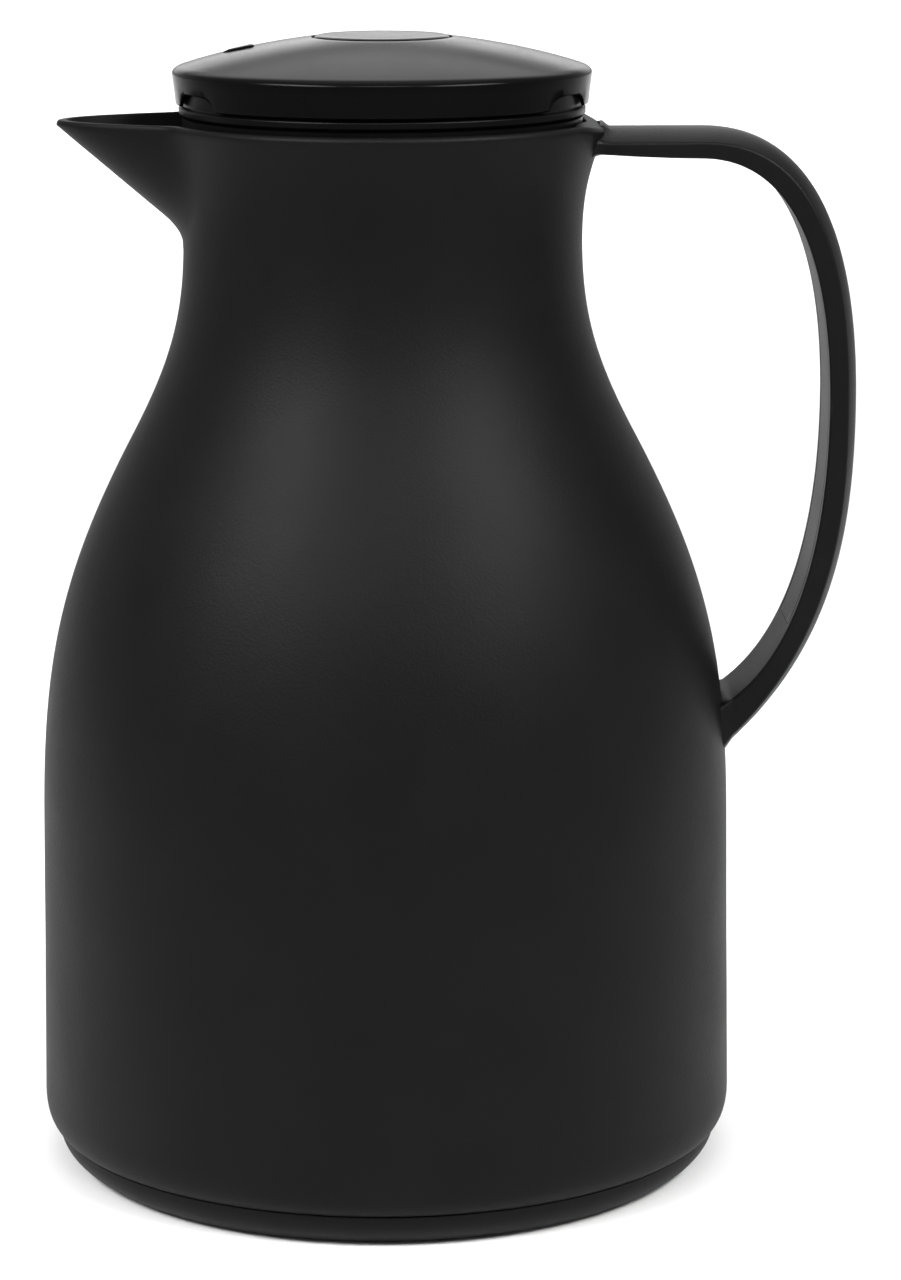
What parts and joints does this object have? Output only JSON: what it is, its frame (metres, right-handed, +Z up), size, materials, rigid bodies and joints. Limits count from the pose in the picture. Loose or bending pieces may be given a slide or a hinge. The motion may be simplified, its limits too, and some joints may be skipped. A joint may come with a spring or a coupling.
{
  "type": "vacuum jug",
  "caption": "Vacuum-insulated pouring jug with beak spout, loop handle, screw-in stopper with push button and screw-on base.",
  "frame": {"origin": "on the jug's own axis, in the plane that it stands on", "axes": "+Z up the jug's axis, -X towards the spout, +X towards the handle, +Y across"},
  "size_m": [0.187, 0.1594, 0.2586],
  "materials": {
    "matte_shell": "fine matte texture",
    "gloss_lid": "polished",
    "inner_plastic": "smooth moulded",
    "silvered_glass": "silvered",
    "silicone": "satin",
    "steel": "drawn",
    "felt": "felt"
  },
  "bodies": {
    "jug": {"outer_shell": "matte_shell", "handle_grip": "matte_shell", "handle_cover": "matte_shell", "handle_screw": "steel", "flask_outer_wall": "silvered_glass", "flask_inner_wall": "silvered_glass", "flask_spacer_1": "felt", "flask_spacer_2": "felt", "flask_spacer_3": "felt", "flask_gasket": "silicone", "pouring_collar": "inner_plastic", "collar_seal": "silicone"},
    "base_ring": {"base_seal_ring": "silicone"},
    "base": {"base_cap": "matte_shell", "flask_cushion": "silicone"},
    "stopper_ring": {"stopper_seal": "silicone"},
    "stopper": {"stopper_body": "inner_plastic", "stopper_cap": "gloss_lid", "button_spring": "steel"},
    "button": {"push_button": "gloss_lid", "valve_stem": "steel", "valve_disc": "inner_plastic", "valve_seal": "silicone", "valve_clip": "steel"}
  },
  "joints": [
    {"name": "base_drop", "type": "slide", "parent": "jug", "child": "base_ring", "axis": [0, 0, -1], "range_m": [0, 0.01401]},
    {"name": "base_turn", "type": "hinge", "parent": "base_ring", "child": "base", "pos_m": [0, 0, 0], "axis": [0, 0, -1], "range_deg": [0, 630]},
    {"name": "stopper_lift", "type": "slide", "parent": "jug", "child": "stopper_ring", "axis": [0, 0, 1], "range_m": [0, 0.05041]},
    {"name": "stopper_turn", "type": "hinge", "parent": "stopper_ring", "child": "stopper", "pos_m": [0, 0, 0.24], "axis": [0, 0, 1], "range_deg": [0, 1008]},
    {"name": "button_press", "type": "slide", "parent": "stopper", "child": "button", "axis": [0, 0, -1], "range_m": [0, 0.005], "stiffness_N_per_m": 600, "springref_m": -0.004, "deforming": ["button_spring"]}
  ],
  "couplings": [
    {"joint": "base_drop", "follows": "base_turn", "m_per_rad": 0.0012732},
    {"joint": "stopper_lift", "follows": "stopper_turn", "m_per_rad": 0.0028648}
  ]
}
